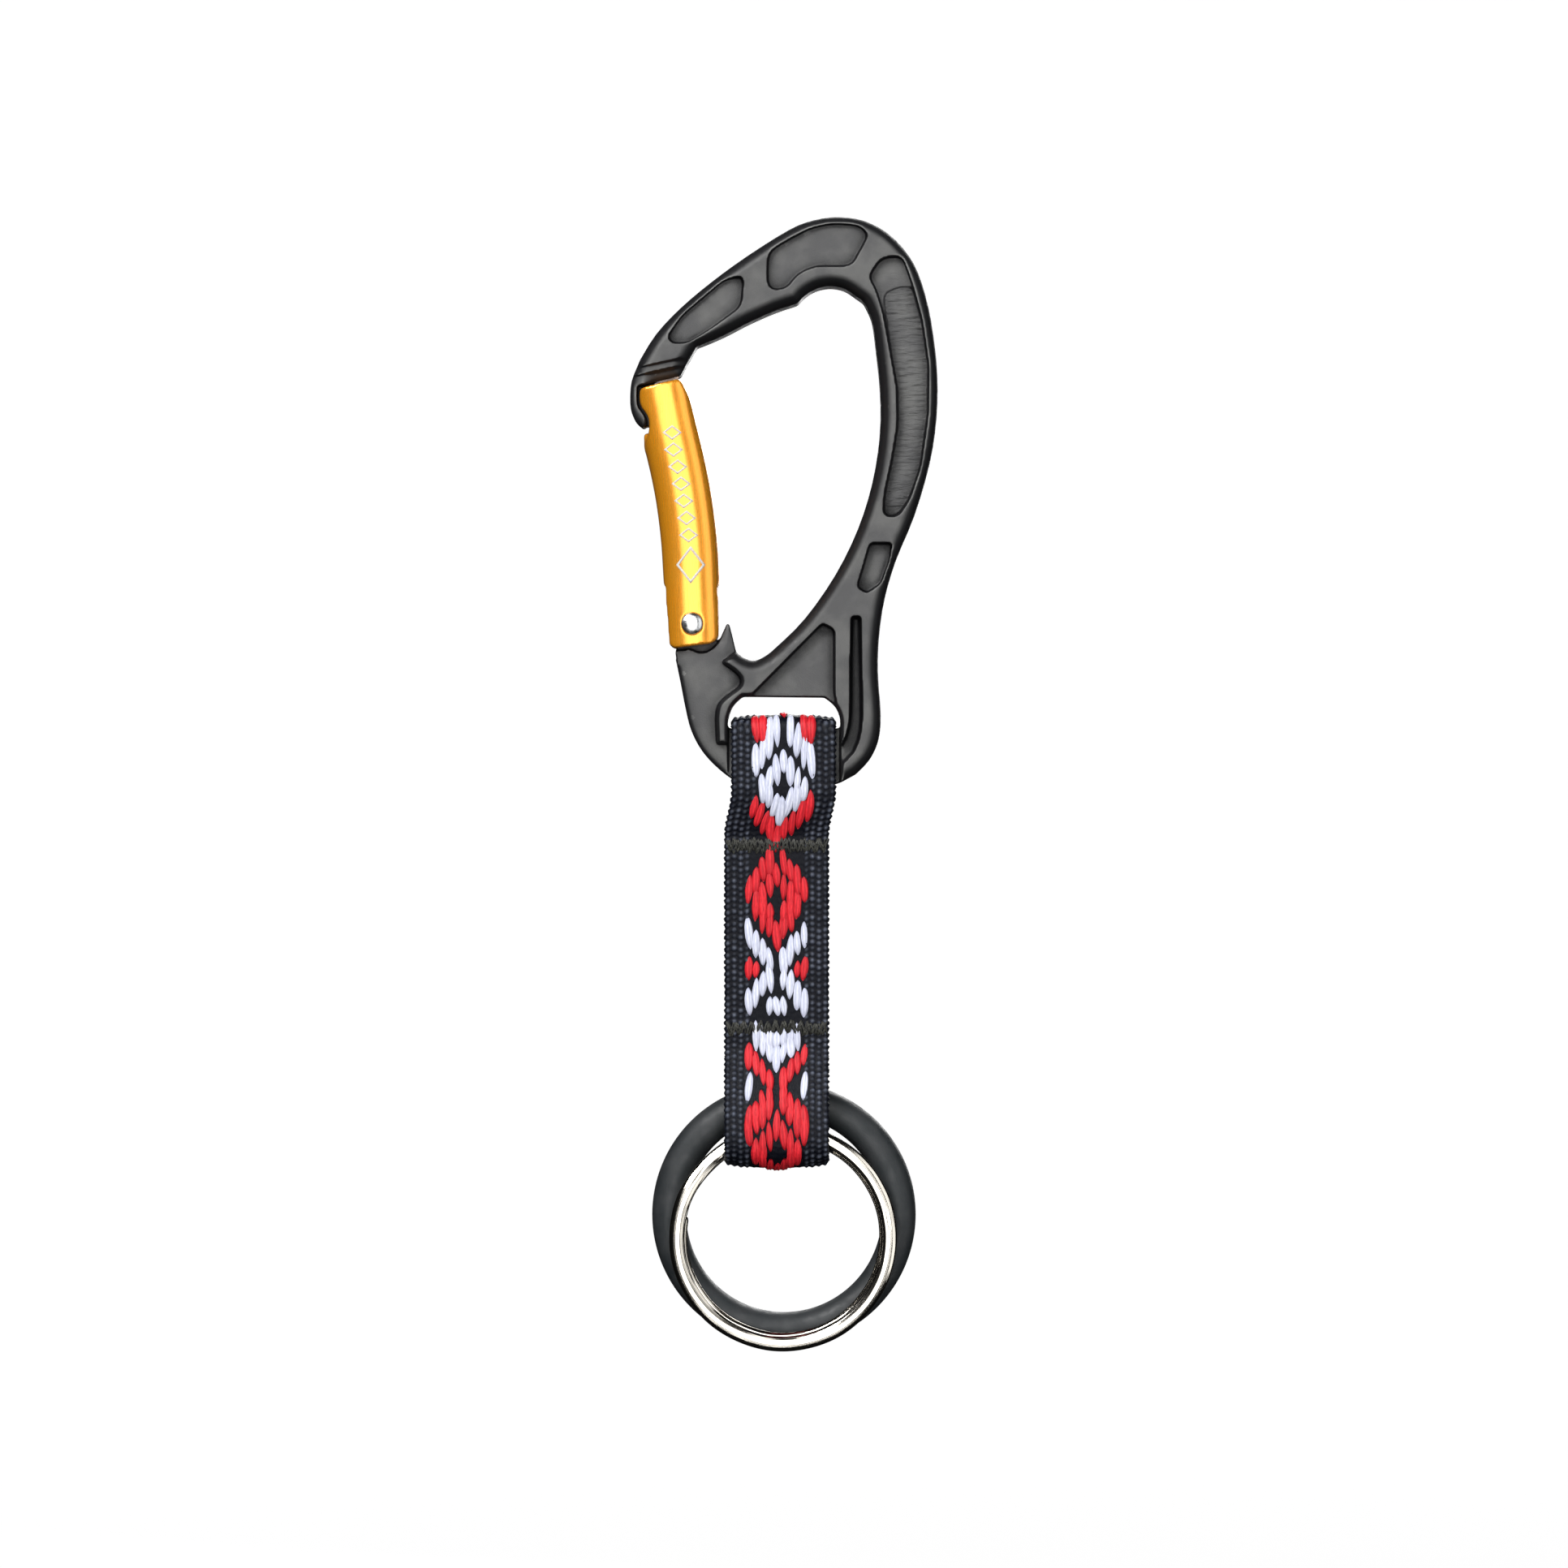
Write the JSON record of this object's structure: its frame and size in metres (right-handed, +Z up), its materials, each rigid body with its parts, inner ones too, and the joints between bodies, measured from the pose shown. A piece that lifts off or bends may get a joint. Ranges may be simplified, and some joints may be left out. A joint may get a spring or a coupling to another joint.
{
  "type": "quickdraw key holder",
  "caption": "Accessory carabiner with a sprung bent gate, a short patterned webbing sling, a rubber ring and a split key ring.",
  "frame": {"origin": "hang point, the highest point of the carabiner's opening, in the middle of its thickness", "axes": "+Z up along the hanging object, +X from the gate towards the spine, +Y away from the viewer, out of the back"},
  "size_m": [0.0378, 0.0118, 0.1393],
  "materials": {
    "black_aluminium": "satin",
    "gold_aluminium": "satin",
    "steel": "polished",
    "nickel": "polished",
    "webbing": "woven",
    "thread": "stitched",
    "rubber": "matte"
  },
  "bodies": {
    "carabiner": {"carabiner_body": "black_aluminium", "gate_rivet": "steel", "sling_top_loop": "webbing"},
    "gate": {"gate": "gold_aluminium", "gate_spring": "steel"},
    "plunger": {"gate_plunger": "steel"},
    "sling": {"sling_front_ply": "webbing", "sling_back_ply": "webbing", "sling_ring_loop": "webbing", "upper_bar_tack": "thread", "lower_bar_tack": "thread"},
    "rubber_ring": {"rubber_ring": "rubber"},
    "split_ring": {"split_ring": "nickel"}
  },
  "joints": [
    {"name": "gate_hinge", "type": "hinge", "parent": "carabiner", "child": "gate", "pos_m": [-0.01685, 0, -0.0415], "axis": [0, 1, 0], "range_deg": [0, 28], "stiffness_Nm_per_rad": 0.02, "springref_deg": -28.65},
    {"name": "plunger_slide", "type": "slide", "parent": "gate", "child": "plunger", "axis": [0, 0, 1], "range_m": [0, 0.0006], "deforming": ["gate_spring"]},
    {"name": "sling_swing", "type": "hinge", "parent": "carabiner", "child": "sling", "pos_m": [-0.006, 0, -0.0663], "axis": [1, 0, 0], "range_deg": [-85, 85]},
    {"name": "rubber_ring_swing", "type": "hinge", "parent": "sling", "child": "rubber_ring", "pos_m": [-0.0056, 0.00245, -0.1013], "axis": [1, 0, 0], "range_deg": [0, 45]},
    {"name": "split_ring_swing", "type": "hinge", "parent": "sling", "child": "split_ring", "pos_m": [-0.0057, -0.0014, -0.1049], "axis": [1, 0, 0], "range_deg": [-45, 0]}
  ],
  "couplings": [
    {"joint": "plunger_slide", "follows": "gate_hinge", "m_per_rad": 0.001125}
  ]
}
